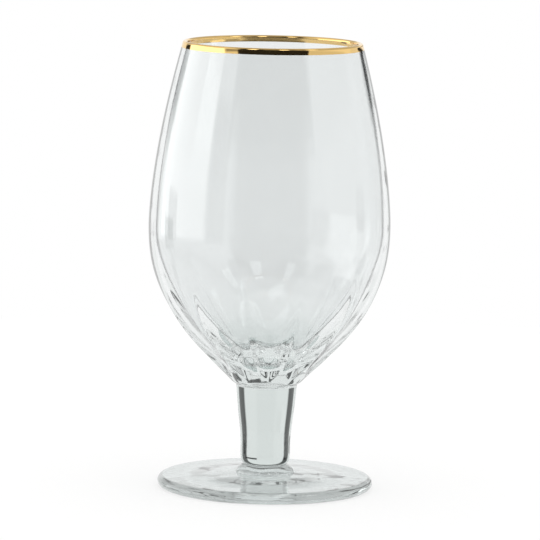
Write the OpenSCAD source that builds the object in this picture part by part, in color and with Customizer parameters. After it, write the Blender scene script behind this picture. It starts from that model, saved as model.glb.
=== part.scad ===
// Stemmed beer glass: a fluted, thick-based bowl on a short solid stem, a small
// collar, a disc foot and a gold band round the lip. Millimetres, +Z up, with the
// origin on the table at the middle of the foot.

/* [Foot] */
// Diameter of the foot
foot_d = 79.5; // [70:0.5:90]
// Thickness of the foot at its rounded edge
foot_edge_h = 4.2; // [3:0.1:5]
// Height of the foot's top where the collar stands on it
foot_hub_h = 5.6; // [5.2:0.1:8]
// Width of the flat ring that the foot rests on
rest_ring_w = 6; // [4:0.5:10]
// Height of the shallow hollow under the foot
hollow_h = 1; // [0.5:0.1:1.5]
// Diameter of the dimple in the middle of the hollow
dimple_d = 37; // [25:0.5:45]
// Height of the dimple above the hollow
dimple_h = 1.2; // [0.5:0.1:1.5]

/* [Collar] */
// Height of the collar
collar_h = 3.4; // [2.5:0.1:7]
// Diameter of the collar where it spreads onto the foot
collar_d = 21.6; // [20:0.2:26]
// Depth of the notch where the collar meets the stem
notch_depth = 1.8; // [0.3:0.1:2.2]

/* [Stem] */
// Length of the stem
stem_l = 29; // [20:0.2:45]
// Diameter of the stem near its lower end
stem_waist_d = 18.4; // [16:0.2:19.6]
// Diameter of the stem where the bowl stands on it
stem_top_d = 22.4; // [21:0.2:25]
// Height of the stem's rounded lower end
stem_end_h = 5; // [1.5:0.1:6]

/* [Bowl] */
// Height of the bowl, from the stem to the lip
bowl_h = 127; // [118:0.5:140]
// Diameter of the bowl at its belly
belly_d = 89.2; // [80:0.2:100]
// Height of the belly above the stem
belly_rise = 59; // [52:0.5:66]
// Diameter of the bowl at the lip
rim_d = 65.8; // [58:0.2:76]
// Diameter of the bowl where its neck turns into the flank
neck_d = 26.4; // [24:0.2:30]
// Height of that neck
neck_h = 2; // [1.5:0.1:4]
// Thickness of the wall at the lip
lip_t = 1.8; // [1.4:0.1:2.4]
// Thickness of the wall at the belly
belly_t = 2.8; // [2:0.1:3.4]
// Thickness of the solid base under the cavity
base_t = 10.5; // [8.5:0.5:18]
// How broad the round bottom of the cavity is
cavity_floor_r = 14; // [9:0.5:18]
// Height over which the cavity's bottom rises into the wall
cavity_turn_h = 30; // [24:0.5:34]

/* [Flutes] */
// Number of flutes round the bowl
flute_count = 12; // [8:1:16]
// Angle by which the flutes are turned round the axis
flute_turn = 18; // [0:1:45]
// Depth of the flutes in the thick base
flute_depth = 1.6; // [0.6:0.1:2]
// Depth of the faint flutes higher up the wall
rib_depth = 0.1; // [0.05:0.05:0.4]
// Height above the stem at which the flutes start
flute_start = 3.5; // [3:0.1:5]
// Height above the stem at which the flutes are deepest
flute_deepest = 11; // [8:0.5:14]
// Height above the stem at which only the faint flutes are left
flute_fade = 48; // [30:0.5:52]

/* [Gold rim] */
// Height of the gold band on the outside
gold_h = 2.3; // [1.2:0.1:3]
// Thickness of the gold band
gold_t = 0.15; // [0.1:0.01:0.25]

/* [Hidden] */
$fn = 96;

foot_r = foot_d / 2;
edge_r = foot_edge_h / 2;
rest_out_r = foot_r - edge_r;
rest_in_r = rest_out_r - rest_ring_w;
dimple_r = dimple_d / 2;
collar_r = collar_d / 2;
waist_r = stem_waist_d / 2;
notch_r = waist_r - notch_depth;
stem_top_r = stem_top_d / 2;
neck_r = neck_d / 2;
belly_r = belly_d / 2;
rim_r = rim_d / 2;

stem_z = foot_hub_h + collar_h;
bowl_z = stem_z + stem_l;
neck_z = bowl_z + neck_h;
belly_z = bowl_z + belly_rise;
top_z = bowl_z + bowl_h;
cavity_z = bowl_z + base_t;
gold_z = top_z - gold_h;
upper_h = top_z - belly_z;

// Steps along each curve, and faces across each flute
curve_steps = 10;
lip_steps = 6;
flute_faces = 8;
ring_n = flute_count * flute_faces;

// How the curves leave and reach their ends: the outward lean of each as a slope,
// and the length of each handle as a share of the height it spans.
flank_slope = 0.97;
flank_low_share = 0.21;
flank_high_share = 0.56;
upper_slope = 0.273;
upper_low_share = 0.12;
upper_high_share = 0.54;
// How far the collar's side and the foot's top bulge out of a straight line
collar_bulge_share = 0.35;
foot_bulge_share = 0.12;

function bezier(a, b, c, d, t) =
    a * pow(1 - t, 3) + 3 * b * t * pow(1 - t, 2) + 3 * c * t * t * (1 - t) + d * pow(t, 3);

function curve(a, b, c, d, steps) =
    [for (i = [0 : steps]) bezier(a, b, c, d, i / steps)];

function smooth(low, high, v) =
    let (s = max(0, min(1, (v - low) / (high - low)))) s * s * (3 - 2 * s);

function without_first(list) = [for (i = [1 : len(list) - 1]) list[i]];

// Outside of the bowl, [radius, height], from the stem up to the lip
flank_rise = belly_z - neck_z;
flank_low = flank_rise * flank_low_share;
neck_curve = curve(
    [stem_top_r, bowl_z],
    [stem_top_r, bowl_z + neck_h / 2],
    [neck_r - flank_slope * neck_h / 2, neck_z - neck_h / 2],
    [neck_r, neck_z],
    curve_steps / 2);
flank_curve = curve(
    [neck_r, neck_z],
    [neck_r + flank_slope * flank_low, neck_z + flank_low],
    [belly_r, belly_z - flank_rise * flank_high_share],
    [belly_r, belly_z],
    curve_steps);
upper_high = upper_h * upper_high_share;
upper_curve = curve(
    [belly_r, belly_z],
    [belly_r, belly_z + upper_h * upper_low_share],
    [rim_r + upper_slope * upper_high, top_z - upper_high],
    [rim_r, top_z],
    curve_steps);
outside = concat(neck_curve, without_first(flank_curve), without_first(upper_curve));

// Inside of the bowl, from the lip down to the middle of the cavity's bottom
lip_r = lip_t / 2;
lip_z = top_z - lip_r;
lip_mid_r = rim_r + upper_slope * lip_r - lip_r;
inner_rim_r = lip_mid_r - lip_r;
inner_belly_r = belly_r - belly_t;
inside = concat(
    curve(
        [inner_rim_r, lip_z],
        [inner_rim_r + upper_slope * upper_high, lip_z - upper_high],
        [inner_belly_r, belly_z + upper_h * upper_low_share],
        [inner_belly_r, belly_z],
        curve_steps),
    without_first(curve(
        [inner_belly_r, belly_z],
        [inner_belly_r, belly_z - cavity_turn_h],
        [cavity_floor_r, cavity_z],
        [0, cavity_z],
        curve_steps)));

// Depth of the flutes at a height
function depth_at(z) =
    z < bowl_z + flute_deepest
        ? flute_depth * smooth(bowl_z + flute_start, bowl_z + flute_deepest, z)
        : rib_depth * (1 - smooth(belly_z, gold_z, z))
            + (flute_depth - rib_depth) * (1 - smooth(bowl_z + flute_deepest, bowl_z + flute_fade, z));

// What a flute takes off the radius, at a share of the way from its middle to its edge.
// Below its deepest place a flute narrows as it ends, which gives it a round foot.
function flute_cut(z, across) =
    z < bowl_z + flute_deepest
        ? max(0, depth_at(z) - flute_depth * across * across)
        : depth_at(z) * (1 - across * across);

// Each ring starts on a ridge between two flutes
function ring_angle(i) = flute_turn + 360 * i / ring_n;

function round_ring(r, z) =
    [for (i = [0 : ring_n - 1]) let (a = ring_angle(i)) [r * cos(a), r * sin(a), z]];

function fluted_ring(r, z) =
    [for (i = [0 : ring_n - 1])
        let (
            a = ring_angle(i),
            across = abs((i % flute_faces) * 2 / flute_faces - 1),
            cut_r = r - flute_cut(z, across))
        [cut_r * cos(a), cut_r * sin(a), z]];

function band_faces(low, high) =
    [for (i = [0 : ring_n - 1])
        let (k = (i + 1) % ring_n)
        each [[low + i, high + i, low + k], [low + k, high + i, high + k]]];

// A ring of the lip's round section, taken in from its surface by a thickness
function lip_ring(step, inset) =
    let (a = 180 * step / lip_steps)
    round_ring(lip_mid_r + (lip_r - inset) * cos(a), lip_z + (lip_r - inset) * sin(a));

function outside_r(z) = lookup(z, [for (p = outside) [p[1], p[0]]]);

module foot() {
    color("lightgrey")
    rotate_extrude()
    polygon(concat(
        [[0, hollow_h + dimple_h]],
        curve(
            [0, hollow_h + dimple_h],
            [dimple_r / 2, hollow_h + dimple_h],
            [dimple_r / 2, hollow_h],
            [dimple_r, hollow_h],
            curve_steps),
        without_first(curve(
            [dimple_r, hollow_h],
            [(dimple_r + rest_in_r) / 2, hollow_h],
            [(dimple_r + rest_in_r) / 2, 0],
            [rest_in_r, 0],
            curve_steps)),
        [for (i = [0 : curve_steps])
            let (a = 180 * i / curve_steps - 90)
            [rest_out_r + edge_r * cos(a), edge_r + edge_r * sin(a)]],
        without_first(curve(
            [rest_out_r, foot_edge_h],
            [rest_out_r * 2 / 3 + collar_r / 3, foot_edge_h],
            [rest_out_r / 3 + collar_r * 2 / 3, foot_hub_h - foot_edge_h * foot_bulge_share],
            [collar_r, foot_hub_h],
            curve_steps)),
        [[0, foot_hub_h]]));
}

module collar() {
    color("gainsboro")
    translate([0, 0, foot_hub_h])
    rotate_extrude()
    polygon(concat(
        [[0, 0]],
        curve(
            [collar_r, 0],
            [collar_r, collar_h * collar_bulge_share],
            [notch_r + collar_h * collar_bulge_share, collar_h],
            [notch_r, collar_h],
            curve_steps),
        [[0, collar_h]]));
}

module stem() {
    color("whitesmoke")
    translate([0, 0, stem_z])
    rotate_extrude()
    polygon(concat(
        [[0, 0]],
        curve(
            [notch_r, 0],
            [waist_r, 0],
            [waist_r, stem_end_h / 2],
            [waist_r, stem_end_h],
            curve_steps / 2),
        without_first(curve(
            [waist_r, stem_end_h],
            [waist_r, stem_l / 2],
            [(waist_r + stem_top_r) / 2, stem_l / 2],
            [stem_top_r, stem_l],
            curve_steps)),
        [[0, stem_l]]));
}

module bowl() {
    wall_top = [for (p = outside) if (p[1] < gold_z) p];
    rings = concat(
        [for (p = wall_top) fluted_ring(p[0], p[1])],
        [round_ring(outside_r(gold_z), gold_z)],
        [round_ring(outside_r(gold_z) - gold_t, gold_z)],
        [for (i = [0 : lip_steps]) lip_ring(i, gold_t)],
        [for (p = inside) if (p[0] > 0) round_ring(p[0], p[1])]);
    last = len(rings) - 1;
    poles = [[0, 0, bowl_z], [0, 0, cavity_z]];
    under = len(rings) * ring_n;
    color("azure")
    polyhedron(
        points = concat([for (r = rings) each r], poles),
        faces = concat(
            [for (j = [0 : last - 1]) each band_faces(j * ring_n, (j + 1) * ring_n)],
            [for (i = [0 : ring_n - 1]) [under, i, (i + 1) % ring_n]],
            [for (i = [0 : ring_n - 1])
                [under + 1, last * ring_n + (i + 1) % ring_n, last * ring_n + i]]));
}

module gold_rim() {
    rings = concat(
        [round_ring(outside_r(gold_z), gold_z)],
        [for (i = [0 : lip_steps]) lip_ring(i, 0)],
        [for (i = [lip_steps : -1 : 0]) lip_ring(i, gold_t)],
        [round_ring(outside_r(gold_z) - gold_t, gold_z)]);
    count = len(rings);
    color("gold")
    polyhedron(
        points = [for (r = rings) each r],
        faces = [for (j = [0 : count - 1]) each band_faces(j * ring_n, ((j + 1) % count) * ring_n)]);
}

foot();
collar();
stem();
bowl();
gold_rim();
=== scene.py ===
"""Stemmed beer glass with a gold rim: foot, collar, stem, fluted bowl and gold band, in a pale studio.

Everything is in metres in the row frame, with the foot's underside on z = 0.
"""
import math

import bpy
from mathutils import Matrix, Vector


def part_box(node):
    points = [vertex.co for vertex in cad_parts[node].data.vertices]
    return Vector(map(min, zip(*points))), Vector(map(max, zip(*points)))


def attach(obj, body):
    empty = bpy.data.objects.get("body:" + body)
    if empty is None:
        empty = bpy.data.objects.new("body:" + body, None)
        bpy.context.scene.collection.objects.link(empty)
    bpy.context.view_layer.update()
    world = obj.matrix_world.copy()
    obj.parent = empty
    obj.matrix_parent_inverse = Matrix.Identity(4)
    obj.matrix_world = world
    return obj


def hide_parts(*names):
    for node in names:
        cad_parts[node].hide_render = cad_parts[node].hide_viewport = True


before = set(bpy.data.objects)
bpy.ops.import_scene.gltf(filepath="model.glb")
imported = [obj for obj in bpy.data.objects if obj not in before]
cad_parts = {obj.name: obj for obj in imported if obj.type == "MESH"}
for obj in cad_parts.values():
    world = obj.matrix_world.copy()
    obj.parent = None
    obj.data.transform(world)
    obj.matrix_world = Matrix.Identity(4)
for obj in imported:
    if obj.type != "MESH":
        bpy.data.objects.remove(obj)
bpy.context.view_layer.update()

bl_info = {
    "name": "Beer Glass with a Gold Rim",
    "version": (1, 0, 0),
    "blender": (4, 5, 0),
    "location": "3D View > Sidebar > Beer Glass",
    "description": "Makes a fluted, stemmed beer glass with a gold lip, and the pale studio it stands in",
    "category": "Object",
}

MM = 0.001
# Lengths under this count as none
HAIR = 0.01 * MM
_, FOOT_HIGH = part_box("foot")
COLLAR_LOW, COLLAR_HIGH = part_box("collar")
STEM_LOW, STEM_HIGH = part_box("stem")
BOWL_LOW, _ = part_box("bowl")
GOLD_LOW, GOLD_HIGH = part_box("gold_rim")


# Settings that a user may change


def length(name, text, default):
    """A size in metres."""
    return bpy.props.FloatProperty(
        name=name, description=text, default=default, min=0.0, precision=5,
        subtype="DISTANCE", unit="LENGTH")


def angle(name, text, degrees):
    """An angle, given in degrees."""
    return bpy.props.FloatProperty(
        name=name, description=text, default=math.radians(degrees), subtype="ANGLE", unit="ROTATION")


def amount(name, text, default, low, high):
    """A plain ratio, strength or count of pixels."""
    return bpy.props.FloatProperty(name=name, description=text, default=default, min=low, max=high)


def linear(value):
    """One sRGB channel, 0 to 1, as a linear value."""
    return value / 12.92 if value <= 0.04045 else ((value + 0.055) / 1.055) ** 2.4


def from_hex(text):
    """Linear RGBA of an sRGB hex colour."""
    text = text.lstrip("#")
    return tuple(linear(int(text[i:i + 2], 16) / 255) for i in (0, 2, 4)) + (1.0,)


def colour(name, text, hex_text):
    """A colour, given as an sRGB hex value."""
    return bpy.props.FloatVectorProperty(
        name=name, description=text, default=from_hex(hex_text)[:3], subtype="COLOR", size=3,
        min=0, max=1)


class BeerGlassSizes(bpy.types.PropertyGroup):
    """Sizes of the glass that the frame doesn't give."""

    belly_height: length("Belly height", "Height of the bowl's widest place", 97 * MM)
    belly_radius: length("Belly radius", "Outside radius of the bowl at its widest", 44.6 * MM)
    rim_radius: length("Lip radius", "Outside radius of the bowl at the lip", 32.9 * MM)
    neck_radius: length("Neck radius", "Radius where the bowl's neck turns into its flank", 13.2 * MM)
    neck_rise: length("Neck rise", "Height of that neck", 2 * MM)
    lip_wall: length("Lip thickness", "Thickness of the wall at the lip", 1.8 * MM)
    belly_wall: length("Belly thickness", "Thickness of the wall at the belly", 2.8 * MM)
    base_rise: length("Base thickness", "Solid glass between the stem and the cavity", 10.5 * MM)
    floor_radius: length("Cavity floor", "How broad the round bottom of the cavity is", 14 * MM)
    floor_turn: length("Cavity turn", "Height in which the cavity's bottom turns into its wall", 30 * MM)
    flute_depth: length("Flute depth", "Depth of the flutes in the thick base", 1.6 * MM)
    rib_depth: length("Rib depth", "Depth of the faint flutes up the wall", 0.1 * MM)
    inner_rib: length("Inner rib", "Depth of the faint ribs on the inside", 0.1 * MM)
    flute_start: length("Flute start", "Height above the stem at which the flutes start", 3.5 * MM)
    flute_deepest: length("Flute deepest", "Height above the stem at which they are deepest", 11 * MM)
    flute_fade: length("Flute fade", "Height above the stem where only faint ribs are left", 48 * MM)
    waist_radius: length("Stem waist", "Radius of the stem near its lower end", 9.2 * MM)
    stem_end: length("Stem end", "Height of the stem's rounded lower end", 5 * MM)
    notch: length("Notch", "Depth of the notch between the stem and the collar", 1.8 * MM)
    edge_thickness: length("Foot edge", "Thickness of the foot at its rounded edge", 4.2 * MM)
    rest_ring: length("Rest ring", "Width of the flat ring that the foot rests on", 6 * MM)
    hollow: length("Foot hollow", "Height of the shallow hollow under the foot", 1 * MM)
    dimple_radius: length("Dimple radius", "Radius of the dimple in the middle of the hollow", 18.5 * MM)
    dimple: length("Dimple height", "Height of the dimple above the hollow", 1.2 * MM)
    gold_thickness: length("Gold thickness", "Thickness of the gold band", 0.15 * MM)
    flutes: bpy.props.IntProperty(
        name="Flutes", description="Flutes round the bowl", default=12, min=3, max=24)
    flute_turn: angle("Flute turn", "How far the flutes are turned round the axis", 18)


class BeerGlassFinish(bpy.types.PropertyGroup):
    """Colours and finishes."""

    glass: colour("Glass", "Tone that the glass gives to what is seen through it", "#F2F4F4")
    thick_glass: colour("Thick glass", "Deeper tone of the stem", "#DAE1DF")
    base_glass: colour("Base glass", "Tone of the bowl's thick base", "#E2E7E6")
    foot_glass: colour("Foot glass", "Tone of the foot and the collar", "#D0D7D6")
    # Painted shade: the dark tone painted on the glass where it is seen nearly edge-on
    edge: colour("Glass seen edge-on", "Tone of the glass along its outline", "#161918")
    # Painted light: colour of the glow painted inside thick glass, in place of light that bounces on
    trapped: colour("Trapped light", "Tone of the light that is caught inside thick glass", "#FCFFFE")
    gold: colour("Gold", "Colour of the fired gold", "#F5CF87")
    floor: colour("Floor", "Colour of the floor", "#F4F4F3")


class BeerGlassStudio(bpy.types.PropertyGroup):
    """The camera, the floor and the lamp."""

    distance: length("Camera distance", "From the glass's axis to the camera, along the floor", 1.597)
    height: length("Camera height", "Height of the camera above the floor", 0.2854)
    pitch: angle("Pitch", "How far the camera looks down", 7.3)
    roll: angle("Roll", "How far the camera is turned about its own line of sight", 1.1)
    shift: amount("Sideways shift", "Lens shift, as a share of the picture's width", 0.0024, -0.1, 0.1)
    focal_px: amount("Focal length", "In pixels of the picture", 4373.7, 10, 20000)
    paper_radius: length("Paper radius", "Radius of the round sheet that the glass stands on", 0.45)
    lamp_height: length("Lamp height", "Height of the softbox above the floor", 1.6)
    lamp_size: length("Lamp size", "Side of the square softbox", 1.2)
    lamp_power: amount("Lamp power", "Power of the softbox in watts", 6.0, 0, 1000)


def sizes():
    """The sizes, as the user has set them."""
    return bpy.context.scene.beer_glass_sizes


def finish():
    """The colours, as the user has set them."""
    return bpy.context.scene.beer_glass_finish


# Curves and outlines, as points (radius, height)

# Straight pieces in a curve from the neck to the belly, and the arc round the lip
CURVE_STEPS = 60
LIP_STEPS = 16
# Radius gained per height just above the neck, and lost per height at the lip
NECK_SLOPE = 0.97
LIP_SLOPE = 0.273
# How far a curve keeps its end's direction, as a share of its height: on the flank from the neck up
# and from the belly down, and on the upper wall from the belly up and from the lip down
NECK_PULL = 0.21
FLANK_PULL = 0.56
BELLY_PULL = 0.12
LIP_PULL = 0.54


def bezier(points, steps):
    """Points of a cubic curve, from its first to its last control point."""
    a, b, c, d = (Vector(p) for p in points)
    out = []
    for i in range(steps + 1):
        t = i / steps
        out.append(a * (1 - t) ** 3 + 3 * b * t * (1 - t) ** 2 + 3 * c * t * t * (1 - t) + d * t ** 3)
    return out


def chain(*curves):
    """Curves joined end to end, each one's first point being the last one's end."""
    points = list(curves[0])
    for curve in curves[1:]:
        points += [Vector(p) for p in curve[1:]]
    return [(p[0], p[1]) for p in points]


def smooth(low, high, value):
    """0 below low, 1 above high, and a smooth rise between them."""
    t = max(0.0, min(1.0, (value - low) / (high - low)))
    return t * t * (3 - 2 * t)


def bowl_outside(s):
    """The bowl's outside from the stem to the lip."""
    base, top, stem_r = BOWL_LOW.z, GOLD_HIGH.z, STEM_HIGH.x
    neck_r, neck_z, half_neck = s.neck_radius, base + s.neck_rise, s.neck_rise / 2
    belly_r, belly_z = s.belly_radius, s.belly_height
    flank, upper = belly_z - neck_z, top - belly_z
    return chain(
        bezier([
            (stem_r, base), (stem_r, base + half_neck),
            (neck_r - NECK_SLOPE * half_neck, neck_z - half_neck), (neck_r, neck_z)],
            CURVE_STEPS // 3),
        bezier([
            (neck_r, neck_z), (neck_r + NECK_SLOPE * flank * NECK_PULL, neck_z + flank * NECK_PULL),
            (belly_r, belly_z - flank * FLANK_PULL), (belly_r, belly_z)],
            CURVE_STEPS),
        bezier([
            (belly_r, belly_z), (belly_r, belly_z + upper * BELLY_PULL),
            (s.rim_radius + LIP_SLOPE * upper * LIP_PULL, top - upper * LIP_PULL), (s.rim_radius, top)],
            CURVE_STEPS))


def lip(s):
    """Radius of the lip's round section, and its centre."""
    r = s.lip_wall / 2
    return r, (s.rim_radius + LIP_SLOPE * r - r, GOLD_HIGH.z - r)


def bowl_inside(s):
    """The cavity, from the lip down to the middle of its bottom."""
    r, (mid, lip_z) = lip(s)
    rim, belly_r, belly_z = mid - r, s.belly_radius - s.belly_wall, s.belly_height
    upper, bottom = GOLD_HIGH.z - belly_z, BOWL_LOW.z + s.base_rise
    return chain(
        bezier([
            (rim, lip_z), (rim + LIP_SLOPE * upper * LIP_PULL, lip_z - upper * LIP_PULL),
            (belly_r, belly_z + upper * BELLY_PULL), (belly_r, belly_z)],
            CURVE_STEPS),
        bezier([
            (belly_r, belly_z), (belly_r, belly_z - s.floor_turn),
            (s.floor_radius, bottom), (0.0, bottom)],
            CURVE_STEPS))


def lip_arc(s, inset, steps):
    """The lip's half circle from outside to inside, taken in by a thickness."""
    r, (mid, lip_z) = lip(s)
    angles = [math.pi * i / steps for i in range(steps + 1)]
    return [(mid + (r - inset) * math.cos(a), lip_z + (r - inset) * math.sin(a)) for a in angles]


def radius_at(outline, height):
    """Radius of an outline that rises, at a height."""
    for (r0, z0), (r1, z1) in zip(outline, outline[1:]):
        if z0 <= height <= z1 and z1 > z0:
            return r0 + (r1 - r0) * (height - z0) / (z1 - z0)
    return outline[-1][0]


# Making and shaping meshes

# Faces round the axis
SEGMENTS = 288
# Edges that turn by less than this are shaded smooth
SMOOTH_BELOW = math.radians(40)


def deselect():
    """Leaves edit mode and selects nothing."""
    if bpy.context.object and bpy.context.object.mode != "OBJECT":
        bpy.ops.object.mode_set(mode="OBJECT")
    bpy.ops.object.select_all(action="DESELECT")


def turn(name, outline, segments):
    """A round piece: one point is drawn out along the outline and spun round the axis."""
    deselect()
    r, z = outline[0]
    bpy.ops.mesh.primitive_plane_add(size=MM, location=(0, 0, 0))
    piece = bpy.context.object
    piece.name = piece.data.name = name
    bpy.ops.object.mode_set(mode="EDIT")
    bpy.ops.mesh.merge(type="CENTER")
    bpy.ops.transform.translate(value=(r, 0, z))
    for (r0, z0), (r1, z1) in zip(outline, outline[1:]):
        bpy.ops.mesh.extrude_region_move(TRANSFORM_OT_translate={"value": (r1 - r0, 0, z1 - z0)})
    bpy.ops.mesh.select_all(action="SELECT")
    bpy.ops.mesh.spin(steps=segments, angle=math.tau, center=(0, 0, 0), axis=(0, 0, 1))
    bpy.ops.mesh.select_all(action="SELECT")
    bpy.ops.mesh.remove_doubles(threshold=MM / 500)
    bpy.ops.mesh.normals_make_consistent(inside=False)
    bpy.ops.object.mode_set(mode="OBJECT")
    return piece


def flute_depth(s, z):
    """Depth of the flutes at a height."""
    base = BOWL_LOW.z
    deepest = base + s.flute_deepest
    if z < deepest:
        return s.flute_depth * smooth(base + s.flute_start, deepest, z)
    faint = s.rib_depth * (1 - smooth(s.belly_height, GOLD_LOW.z, z))
    return faint + (s.flute_depth - s.rib_depth) * (1 - smooth(deepest, base + s.flute_fade, z))


def inner_rib(s, z):
    """Depth of the ribs on the inside at a height: they fade by more than half towards the lip."""
    low, fade = BOWL_LOW.z + s.base_rise, 0.6
    rise = smooth(low, s.belly_height, z)
    return s.inner_rib * rise * (1 - smooth(s.belly_height, GOLD_LOW.z, z) * fade)


def across_flute(s, x, y):
    """Place across a flute: 0 in its middle, 1 at the ridge."""
    step = math.tau / s.flutes
    a = (math.atan2(y, x) - s.flute_turn) % step
    return abs(2 * a / step - 1)


def inner_points(piece, s):
    """Numbers of the points that lie on the cavity's side of the wall."""
    cavity, near = bowl_inside(s)[::-1], 0.05 * MM
    bottom = BOWL_LOW.z + s.base_rise - HAIR
    return {
        v.index for v in piece.data.vertices
        if v.co.z > bottom and math.hypot(v.co.x, v.co.y) < radius_at(cavity, v.co.z) + near}


def press_flutes(piece, s):
    """Moves the outside's points in by the flutes' depth, and the inside's by the faint ribs' depth."""
    inner, below_gold = inner_points(piece, s), GOLD_LOW.z - 10 * HAIR
    for v in piece.data.vertices:
        x, y, z = v.co
        r = math.hypot(x, y)
        if r < MM or z >= below_gold:
            continue
        across = across_flute(s, x, y)
        if v.index in inner:
            cut = -inner_rib(s, z) * across * across
        elif z < BOWL_LOW.z + s.flute_deepest:
            cut = max(0.0, flute_depth(s, z) - s.flute_depth * across * across)
        else:
            cut = flute_depth(s, z) * (1 - across * across)
        v.co.x, v.co.y = x * (r - cut) / r, y * (r - cut) / r


def give(piece, *materials):
    """Puts materials into a piece's slots."""
    piece.data.materials.clear()
    for material in materials:
        piece.data.materials.append(material)


def mark_joints(piece, heights, within=math.inf):
    """Gives the flat faces that are fused to a neighbour the second material."""
    flat = 0.999
    for p in piece.data.polygons:
        level = any(abs(p.center.z - h) < HAIR for h in heights)
        if level and abs(p.normal.z) > flat and math.hypot(p.center.x, p.center.y) < within:
            p.material_index = 1


def finish_piece(piece, replaced):
    """Smooths a piece, and hands it to the frame in place of its node."""
    deselect()
    piece.select_set(True)
    bpy.context.view_layer.objects.active = piece
    bpy.ops.object.shade_smooth_by_angle(angle=SMOOTH_BELOW)
    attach(piece, "root")
    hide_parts(replaced)


# Materials

WHITE = from_hex("#FFFFFF")
# Above every value of Facing, which is 0 where a surface is seen square on and 1 edge-on
EDGE_ON = 2.0
# A ray that has been reflected more often than this inside the glass counts as trapped
MOST_REFLECTIONS = 3.5


def node(tree, kind, settings=None):
    """Adds a node. Each setting goes to an input socket, by its name or number, or else to a property
    of the node, and a value that is another node's socket is linked."""
    made = tree.nodes.new(kind)
    for key, value in (settings or {}).items():
        if isinstance(value, bpy.types.NodeSocket):
            tree.links.new(value, made.inputs[key])
        elif isinstance(key, int) or key in made.inputs:
            made.inputs[key].default_value = value
        else:
            setattr(made, key, value)
    return made


def new_material(name):
    """An empty material and its node tree."""
    material = bpy.data.materials.new(name)
    material.use_nodes = True
    material.node_tree.nodes.clear()
    return material, material.node_tree


def between(tree, value, low, high, soft):
    """1 where a value lies between two others and 0 elsewhere, with soft edges."""
    rise = node(tree, "ShaderNodeMapRange", {
        "interpolation_type": "SMOOTHSTEP", "Value": value,
        "From Min": low - soft, "From Max": low + soft})
    fall = node(tree, "ShaderNodeMapRange", {
        "interpolation_type": "SMOOTHSTEP", "Value": value,
        "From Min": high + soft, "From Max": high - soft})
    return node(tree, "ShaderNodeMath", {
        "operation": "MULTIPLY", 0: rise.outputs["Result"], 1: fall.outputs["Result"]}).outputs[0]


def low_in_the_bowl(tree, place):
    """1 in the bowl's thick base, fading to 0 up the wall."""
    thick, thin = 43 * MM, 72 * MM
    height = node(tree, "ShaderNodeSeparateXYZ", {"Vector": place}).outputs["Z"]
    return node(tree, "ShaderNodeMapRange", {
        "interpolation_type": "SMOOTHSTEP", "Value": height,
        "From Min": thin, "From Max": thick}).outputs["Result"]


def round_the_collar(tree, place):
    """1 on the foot near the collar, fading to a third at its edge."""
    near, far, left_at_edge = 18 * MM, 32 * MM, 0.33
    flat = node(tree, "ShaderNodeVectorMath", {"operation": "MULTIPLY", 0: place, 1: (1, 1, 0)})
    away = node(tree, "ShaderNodeVectorMath", {"operation": "LENGTH", 0: flat.outputs["Vector"]})
    return node(tree, "ShaderNodeMapRange", {
        "interpolation_type": "SMOOTHSTEP", "Value": away.outputs["Value"],
        "From Min": far, "From Max": near, "To Min": left_at_edge, "To Max": 1.0}).outputs["Result"]


def nowhere(tree, place):
    """0 all over a piece."""
    return 0.0


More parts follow.
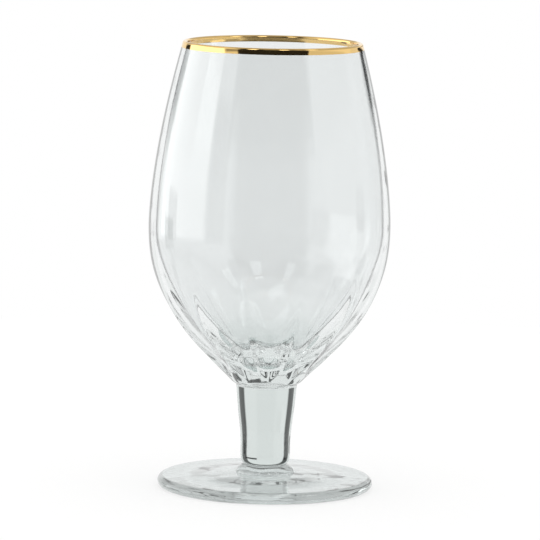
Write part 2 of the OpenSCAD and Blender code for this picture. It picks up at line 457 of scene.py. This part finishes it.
def soda_glass(name, thin, thick, zone, waviness, dark, trapped):
    """Soda-lime glass, smoothed by fire.

    It gives the eye clean, hard-edged reflections, dark lines where it is seen edge-on that are painted
    shade, a faint grey-green tone that deepens where it is thick, and a slight waviness from its making.
    Where a ray has bounced too often inside it, it glows with painted light.
    thin and thick are its tones, and zone says where it is thick and wavy, from 0 to 1. dark holds
    the lowest and the highest Facing between which its tone is painted dark, and trapped the darkest
    and the palest level of the painted glow that stands in for the light caught inside.
    """
    slow_swell, quick_swell, patch, swell_height, painted_edge_soft = 14 * MM, 9 * MM, 7 * MM, 0.025 * MM, 0.03
    material, tree = new_material(name)
    place = node(tree, "ShaderNodeTexCoord").outputs["Object"]
    where = zone(tree, place)
    slow = node(tree, "ShaderNodeTexNoise", {
        "Vector": place, "Scale": 1 / slow_swell, "Detail": 1.0, "Roughness": 0.4})
    quick = node(tree, "ShaderNodeTexNoise", {
        "Vector": place, "Scale": 1 / quick_swell, "Detail": 0.5, "Roughness": 0.5, "Distortion": 0.6})
    swell = node(tree, "ShaderNodeMath", {"operation": "MULTIPLY", 0: quick.outputs["Fac"], 1: where})
    relief = node(tree, "ShaderNodeMath", {
        "operation": "MULTIPLY_ADD", 0: swell.outputs[0], 1: waviness, 2: slow.outputs["Fac"]})
    bump = node(tree, "ShaderNodeBump", {
        "Height": relief.outputs[0], "Strength": 1.0, "Distance": swell_height})
    tone = node(tree, "ShaderNodeMix", {
        "data_type": "RGBA", "Factor": where, 6: (*thin, 1.0), 7: (*thick, 1.0)})
    # Painted shade: between two values of Facing, towards its outline, the glass's tone is painted
    # dark, in place of the dark ends of the room that real glass would bend the eye round to
    facing = node(tree, "ShaderNodeLayerWeight", {"Blend": 0.5}).outputs["Facing"]
    seen = node(tree, "ShaderNodeMix", {
        "data_type": "RGBA", "Factor": between(tree, facing, *dark, painted_edge_soft),
        6: tone.outputs[2], 7: (*finish().edge, 1.0)})
    shader = node(tree, "ShaderNodeBsdfPrincipled", {
        "Base Color": seen.outputs[2], "Roughness": 0.0, "IOR": 1.52, "Transmission Weight": 1.0,
        "Normal": bump.outputs["Normal"]})
    # Painted light: a ray that has been thrown to and fro inside the glass goes no further after a few
    # times, and the glass glows there instead at a painted level, uneven by noise, in place of the room's
    # own grey that would have come out at last
    path = node(tree, "ShaderNodeLightPath")
    caught = node(tree, "ShaderNodeMath", {
        "operation": "GREATER_THAN", 0: path.outputs["Glossy Depth"], 1: MOST_REFLECTIONS})
    painted_glow_noise = node(tree, "ShaderNodeTexNoise", {"Vector": place, "Scale": 1 / patch, "Detail": 0.0})
    darkest, palest = trapped
    painted_glow_level = node(tree, "ShaderNodeMapRange", {
        "Value": painted_glow_noise.outputs["Fac"], "From Min": 0.36, "From Max": 0.44,
        "To Min": darkest, "To Max": palest})
    glow = node(tree, "ShaderNodeEmission", {
        "Color": (*finish().trapped, 1.0), "Strength": painted_glow_level.outputs["Result"]})
    mixed = node(tree, "ShaderNodeMixShader", {
        0: caught.outputs[0], 1: shader.outputs["BSDF"], 2: glow.outputs[0]})
    node(tree, "ShaderNodeOutputMaterial", {"Surface": mixed.outputs[0]})
    return material


def wall_glass():
    """The bowl's glass: almost clear in the thin wall, greyer and wavier in the thick base."""
    return soda_glass(
        "Fire-polished soda-lime glass", thin=finish().glass, thick=finish().base_glass,
        # dark is the band of Facing in which the tone is painted dark, and trapped the painted glow's
        # levels
        zone=low_in_the_bowl, waviness=6.0, dark=(0.81, EDGE_ON), trapped=(0.1, 0.85))


def drawn_glass():
    """The stem's glass: solid, and smooth because it was drawn out hot. Its dark bands are painted shade:
    its tone is painted dark in a band of Facing inside its outline, where a rod of glass would bend
    the dark room into view."""
    return soda_glass(
        "Drawn soda-lime glass", thin=finish().thick_glass, thick=finish().thick_glass,
        zone=nowhere, waviness=0.0, dark=(0.34, 0.62), trapped=(0.25, 0.85))


def foot_glass():
    """The foot's and the collar's glass: pressed flat, and left wavy where the two meet."""
    return soda_glass(
        "Pressed soda-lime glass", thin=finish().foot_glass, thick=finish().foot_glass,
        # dark is the band of Facing in which the tone is painted dark, and trapped the painted glow's
        # levels
        zone=round_the_collar, waviness=11.0, dark=(0.92, EDGE_ON), trapped=(0.15, 0.6))


def fused_joint():
    """The face where two gathers of glass are fused: light passes it as if it weren't there."""
    material, tree = new_material("Fused glass joint")
    clear = node(tree, "ShaderNodeBsdfTransparent", {"Color": WHITE})
    node(tree, "ShaderNodeOutputMaterial", {"Surface": clear.outputs["BSDF"]})
    return material


def fired_gold():
    """Bright liquid gold, brushed on and fired: a soft mirror, slightly uneven where the brush ran."""
    brush_mark, mark_height = 3 * MM, 0.02 * MM
    material, tree = new_material("Fired bright gold")
    place = node(tree, "ShaderNodeTexCoord").outputs["Object"]
    streak = node(tree, "ShaderNodeTexNoise", {"Vector": place, "Scale": 1 / brush_mark, "Detail": 3.0})
    rough = node(tree, "ShaderNodeMapRange", {
        "Value": streak.outputs["Fac"], "To Min": 0.04, "To Max": 0.08})
    bump = node(tree, "ShaderNodeBump", {
        "Height": streak.outputs["Fac"], "Strength": 0.1, "Distance": mark_height})
    shader = node(tree, "ShaderNodeBsdfPrincipled", {
        "Base Color": (*finish().gold, 1.0), "Metallic": 1.0, "Roughness": rough.outputs["Result"],
        "Normal": bump.outputs["Normal"]})
    node(tree, "ShaderNodeOutputMaterial", {"Surface": shader.outputs["BSDF"]})
    return material


MADE = {}


def shared(maker):
    """A material that pieces share, made the first time that it is asked for."""
    if maker.__name__ not in MADE:
        MADE[maker.__name__] = maker()
    return MADE[maker.__name__]


# The studio

# The picture's width in pixels, and the camera's sensor and view
PICTURE_PX = 540
SENSOR_MM = 36.0
CLIP_END = 20
# Share of the camera's view of the paper that is plain white, so that the glass's shadow stays soft
PAPER_WHITE = 0.75

# What metal and glass see round them: a name, then from and to in degrees round the axis, from
# straight behind the glass to the right and on past 180, lowest and highest elevation, level, and
# how many degrees its edges take to fade. A later panel stands in front of an earlier one.
PANELS = [
    ("back wall, above", -40, 75, 15, 50, 0.6, 2),
    ("backdrop", -42, 38, -12, 15, 1.0, 1),
    ("left softbox", -115, -50, -9, 25, 1.95, 1.5),
    ("left gap, lower", -75, -62, -12, -3, 0.1, 1),
    ("right light", 64, 125, -26, 12, 1.0, 2),
    ("right wall, above", 76, 133, 12, 28, 0.75, 3),
    ("right wall, higher", 76, 133, 28, 60, 0.5, 3),
    ("floor on the right", 62, 133, -44, -20, 0.45, 2),
    ("bright paper on the right", 84, 110, -27, -18, 1.6, 1),
    ("dark strip, right", 14, 44, 1, 5, 0.03, 1),
    ("dark strip, left", -51, -37, 2, 8, 0.03, 1),
    ("front of the room", 140, 219, -34, 76, 0.3, 8),
    ("front of the room, left", 225, 243, -10, 17, 0.35, 2),
    ("floor in front", 133, 226, -44, -27, 0.16, 2),
    ("dark behind the camera", 133, 226, 12, 40, 0.02, 1),
    ("dark above the camera", 195, 236, 34, 76, 0.02, 2),
    ("window, left pane", 205, 219, 40, 58, 2.9, 1),
    ("window, middle pane", 155, 169, 40, 58, 2.9, 1),
    ("window, right pane", 108, 120, 40, 58, 2.9, 1),
    ("ceiling", -180, 180, 60, 100, 0.4, 3),
]
# Level of the room where no panel stands, and of its floor, which lies below an elevation
ROOM_LEVEL = 0.88
FLOOR_LEVEL = 1.0
FLOOR_BELOW = -12


def studio_light(tree):
    """Level of the room by direction, for the rays that metal and glass send out."""
    way = node(tree, "ShaderNodeTexCoord").outputs["Generated"]
    xyz = node(tree, "ShaderNodeSeparateXYZ", {"Vector": way})
    turned = node(tree, "ShaderNodeMath", {
        "operation": "ARCTAN2", 0: xyz.outputs["X"], 1: xyz.outputs["Y"]})
    around = node(tree, "ShaderNodeMath", {"operation": "DEGREES", 0: turned.outputs[0]}).outputs[0]
    # The same angle, running on from 180 to 270 instead of from -180 to -90
    behind = node(tree, "ShaderNodeMath", {"operation": "LESS_THAN", 0: around, 1: -90.0}).outputs[0]
    round_on = node(tree, "ShaderNodeMath", {
        "operation": "MULTIPLY_ADD", 0: behind, 1: 360.0, 2: around}).outputs[0]
    up = node(tree, "ShaderNodeMath", {"operation": "ARCSINE", 0: xyz.outputs["Z"]})
    above = node(tree, "ShaderNodeMath", {"operation": "DEGREES", 0: up.outputs[0]}).outputs[0]
    level = node(tree, "ShaderNodeMix", {
        "data_type": "FLOAT", "Factor": between(tree, above, -100, FLOOR_BELOW, 3),
        "A": ROOM_LEVEL, "B": FLOOR_LEVEL}).outputs[0]
    for _, left, right, low, high, bright, soft in PANELS:
        mask = node(tree, "ShaderNodeMath", {
            "operation": "MULTIPLY",
            0: between(tree, round_on if right > 180 else around, left, right, soft),
            1: between(tree, above, low, high, soft)})
        level = node(tree, "ShaderNodeMix", {
            "data_type": "FLOAT", "Factor": mask.outputs[0], "A": level, "B": bright}).outputs[0]
    # Softboxes show their full strength in reflections only, and are plain white through the glass
    path = node(tree, "ShaderNodeLightPath")
    mirrored = node(tree, "ShaderNodeMath", {
        "operation": "GREATER_THAN", 0: path.outputs["Glossy Depth"], 1: 0.5})
    capped = node(tree, "ShaderNodeMath", {"operation": "MINIMUM", 0: level, 1: 1.0})
    return node(tree, "ShaderNodeMix", {
        "data_type": "FLOAT", "Factor": mirrored.outputs[0],
        "A": capped.outputs[0], "B": level}).outputs[0]


def seen_by(tree, *rays):
    """1 for the kinds of ray that are named, and 0 for others."""
    path = node(tree, "ShaderNodeLightPath")
    answer = path.outputs[rays[0]]
    for ray in rays[1:]:
        answer = node(tree, "ShaderNodeMath", {
            "operation": "MAXIMUM", 0: answer, 1: path.outputs[ray]}).outputs[0]
    return answer


def make_world():
    """Plain white for the camera and matt surfaces, and the painted room for metal and glass."""
    world = bpy.data.worlds.new("Pale studio")
    bpy.context.scene.world = world
    world.use_nodes = True
    tree = world.node_tree
    tree.nodes.clear()
    plain = node(tree, "ShaderNodeBackground", {"Color": WHITE, "Strength": 1.0})
    room = node(tree, "ShaderNodeBackground", {"Color": WHITE, "Strength": studio_light(tree)})
    mixed = node(tree, "ShaderNodeMixShader", {
        0: seen_by(tree, "Is Glossy Ray", "Is Transmission Ray"),
        1: plain.outputs[0], 2: room.outputs[0]})
    node(tree, "ShaderNodeOutputWorld", {"Surface": mixed.outputs[0]})


def floor_paper():
    """Matt white paper: the camera sees it white, with the soft shadow that the glass leaves on it."""
    material, tree = new_material("White seamless paper")
    matt = node(tree, "ShaderNodeBsdfDiffuse", {"Color": (*finish().floor, 1.0)})
    lit = node(tree, "ShaderNodeEmission", {"Color": WHITE, "Strength": 1.0})
    white_share = node(tree, "ShaderNodeMath", {
        "operation": "MULTIPLY", 0: seen_by(tree, "Is Camera Ray"), 1: PAPER_WHITE})
    paper = node(tree, "ShaderNodeMixShader", {
        0: white_share.outputs[0], 1: matt.outputs[0], 2: lit.outputs[0]})
    # Metal and glass look past the paper at the pale room, so its edge doesn't cut what they show
    gone = node(tree, "ShaderNodeBsdfTransparent", {"Color": WHITE})
    shown = node(tree, "ShaderNodeMixShader", {
        0: seen_by(tree, "Is Glossy Ray", "Is Transmission Ray"),
        1: paper.outputs[0], 2: gone.outputs[0]})
    node(tree, "ShaderNodeOutputMaterial", {"Surface": shown.outputs[0]})
    return material


class BEERGLASS_OT_stage(bpy.types.Operator):
    """Set up the camera, the pale floor and the studio light"""

    bl_idname = "beerglass.stage"
    bl_label = "Stage"

    def execute(self, context):
        studio = context.scene.beer_glass_studio
        data = bpy.data.cameras.new("Camera")
        data.sensor_width = SENSOR_MM
        data.lens = data.sensor_width * studio.focal_px / PICTURE_PX
        data.shift_x = studio.shift
        data.clip_end = CLIP_END
        camera = bpy.data.objects.new("Camera", data)
        context.collection.objects.link(camera)
        tilt = Matrix.Rotation(math.pi / 2 - studio.pitch, 4, "X")
        roll = Matrix.Rotation(studio.roll, 4, "Z")
        place = Matrix.Translation((0, -studio.distance, studio.height))
        camera.matrix_world = place @ tilt @ roll
        context.scene.camera = camera
        make_world()
        deselect()
        bpy.ops.mesh.primitive_circle_add(
            vertices=96, radius=studio.paper_radius, fill_type="NGON", location=(0, 0, 0))
        floor = context.object
        floor.name = "Floor"
        give(floor, floor_paper())
        lamp = bpy.data.lights.new("Overhead softbox", "AREA")
        lamp.shape = "SQUARE"
        lamp.size = studio.lamp_size
        lamp.energy = studio.lamp_power
        softbox = bpy.data.objects.new("Overhead softbox", lamp)
        softbox.location = (0, 0, studio.lamp_height)
        # The painted ceiling is what the gold shows, without a bright line along its top
        softbox.visible_glossy = False
        context.collection.objects.link(softbox)
        context.scene.view_settings.view_transform = "Standard"
        return {"FINISHED"}


# The pieces


class BEERGLASS_OT_foot(bpy.types.Operator):
    """Press the foot, with its rounded edge and hollowed underside"""

    bl_idname = "beerglass.foot"
    bl_label = "Foot"

    def execute(self, context):
        s = sizes()
        edge, edge_steps = s.edge_thickness / 2, 24
        rest_out = FOOT_HIGH.x - edge
        rest_in = rest_out - s.rest_ring
        hub_r, hub_z = COLLAR_HIGH.x, FOOT_HIGH.z
        dimple, top = s.dimple_radius, s.hollow + s.dimple
        midway, third = (dimple + rest_in) / 2, (rest_out - hub_r) / 3
        below_hub = s.edge_thickness * 0.12
        round_edge = [math.radians(180 * i / edge_steps - 90) for i in range(edge_steps + 1)]
        outline = chain(
            bezier([(0.0, top), (dimple / 2, top), (dimple / 2, s.hollow), (dimple, s.hollow)], 30),
            bezier([(dimple, s.hollow), (midway, s.hollow), (midway, 0), (rest_in, 0)], 20),
            [(rest_in, 0), (rest_out, 0)],
            [(rest_out + edge * math.cos(a), edge + edge * math.sin(a)) for a in round_edge],
            bezier([(rest_out, 2 * edge), (rest_out - third, 2 * edge),
                    (hub_r + third, hub_z - below_hub), (hub_r, hub_z)], 30),
            [(hub_r, hub_z), (0.0, hub_z)])
        foot = turn("Foot", outline, SEGMENTS)
        give(foot, shared(foot_glass), shared(fused_joint))
        mark_joints(foot, [hub_z], within=hub_r)
        finish_piece(foot, "foot")
        return {"FINISHED"}


class BEERGLASS_OT_collar(bpy.types.Operator):
    """Spread the collar onto the foot"""

    bl_idname = "beerglass.collar"
    bl_label = "Collar"

    def execute(self, context):
        s = sizes()
        low, high, wide = COLLAR_LOW.z, COLLAR_HIGH.z, COLLAR_HIGH.x
        notch, bulge = s.waist_radius - s.notch, (high - low) * 0.35
        outline = chain(
            [(0.0, low), (wide, low)],
            bezier([(wide, low), (wide, low + bulge), (notch + bulge, high), (notch, high)], 16),
            [(notch, high), (0.0, high)])
        collar = turn("Collar", outline, SEGMENTS // 2)
        give(collar, shared(foot_glass), shared(fused_joint))
        mark_joints(collar, [low, high])
        finish_piece(collar, "collar")
        return {"FINISHED"}


class BEERGLASS_OT_stem(bpy.types.Operator):
    """Draw the stem"""

    bl_idname = "beerglass.stem"
    bl_label = "Stem"

    def execute(self, context):
        s = sizes()
        low, high, top_r = STEM_LOW.z, STEM_HIGH.z, STEM_HIGH.x
        waist, notch, mid = s.waist_radius, s.waist_radius - s.notch, (low + high) / 2
        end_z = low + s.stem_end
        outline = chain(
            [(0.0, low), (notch, low)],
            bezier([(notch, low), (waist, low), (waist, low + s.stem_end / 2), (waist, end_z)], 12),
            bezier([(waist, end_z), (waist, mid), ((waist + top_r) / 2, mid), (top_r, high)], 36),
            [(top_r, high), (0.0, high)])
        stem = turn("Stem", outline, SEGMENTS // 2)
        give(stem, shared(drawn_glass), shared(fused_joint))
        mark_joints(stem, [low, high])
        finish_piece(stem, "stem")
        return {"FINISHED"}


class BEERGLASS_OT_bowl(bpy.types.Operator):
    """Blow the bowl: turned outside and cavity, with its flutes pressed in"""

    bl_idname = "beerglass.bowl"
    bl_label = "Bowl"

    def execute(self, context):
        s = sizes()
        outer, clear_of_gold = bowl_outside(s), 0.3 * MM
        below = [p for p in outer if p[1] < GOLD_LOW.z - clear_of_gold]
        gold_r = radius_at(outer, GOLD_LOW.z)
        rebate = [(gold_r, GOLD_LOW.z), (gold_r - s.gold_thickness, GOLD_LOW.z)]
        arc = lip_arc(s, s.gold_thickness, LIP_STEPS)
        bowl = turn("Bowl", [(0.0, BOWL_LOW.z), *below, *rebate, *arc, *bowl_inside(s)], SEGMENTS)
        press_flutes(bowl, s)
        give(bowl, shared(wall_glass), shared(fused_joint))
        mark_joints(bowl, [BOWL_LOW.z])
        finish_piece(bowl, "bowl")
        return {"FINISHED"}


class BEERGLASS_OT_gold_rim(bpy.types.Operator):
    """Lay the gold band round the lip"""

    bl_idname = "beerglass.gold_rim"
    bl_label = "Gold rim"

    def execute(self, context):
        s = sizes()
        gold_r, arc_steps = radius_at(bowl_outside(s), GOLD_LOW.z), 20
        # The band's inner face lies a hair inside the glass, as gold lies on it without any air
        sunk = s.gold_thickness * 1.3
        out = [(gold_r, GOLD_LOW.z), *lip_arc(s, 0.0, arc_steps)]
        back = [*lip_arc(s, sunk, arc_steps)[::-1], (gold_r - sunk, GOLD_LOW.z)]
        band = turn("Gold_band", [*out, *back, out[0]], SEGMENTS)
        give(band, shared(fired_gold))
        finish_piece(band, "gold_rim")
        return {"FINISHED"}


class BEERGLASS_PT_panel(bpy.types.Panel):
    """Lists the glass's pieces, its stage and their settings"""

    bl_label = "Beer Glass"
    bl_idname = "BEERGLASS_PT_panel"
    bl_space_type = "VIEW_3D"
    bl_region_type = "UI"
    bl_category = "Beer Glass"

    def draw(self, context):
        scene = context.scene
        for operator in OPERATORS:
            self.layout.operator(operator.bl_idname)
        for settings in (scene.beer_glass_sizes, scene.beer_glass_finish, scene.beer_glass_studio):
            for name in settings.__annotations__:
                self.layout.prop(settings, name)


OPERATORS = (
    BEERGLASS_OT_stage,
    BEERGLASS_OT_foot,
    BEERGLASS_OT_collar,
    BEERGLASS_OT_stem,
    BEERGLASS_OT_bowl,
    BEERGLASS_OT_gold_rim,
)
CLASSES = (BeerGlassSizes, BeerGlassFinish, BeerGlassStudio, *OPERATORS, BEERGLASS_PT_panel)


def register():
    """Makes the classes and their settings known to Blender."""
    for cls in CLASSES:
        bpy.utils.register_class(cls)
    bpy.types.Scene.beer_glass_sizes = bpy.props.PointerProperty(type=BeerGlassSizes)
    bpy.types.Scene.beer_glass_finish = bpy.props.PointerProperty(type=BeerGlassFinish)
    bpy.types.Scene.beer_glass_studio = bpy.props.PointerProperty(type=BeerGlassStudio)


def unregister():
    """Takes them away again, last one first."""
    del bpy.types.Scene.beer_glass_studio
    del bpy.types.Scene.beer_glass_finish
    del bpy.types.Scene.beer_glass_sizes
    for cls in reversed(CLASSES):
        bpy.utils.unregister_class(cls)


def main():
    """Makes the stage and the glass."""
    register()
    bpy.ops.beerglass.stage()
    bpy.ops.beerglass.foot()
    bpy.ops.beerglass.collar()
    bpy.ops.beerglass.stem()
    bpy.ops.beerglass.bowl()
    bpy.ops.beerglass.gold_rim()


if __name__ == "__main__":
    main()
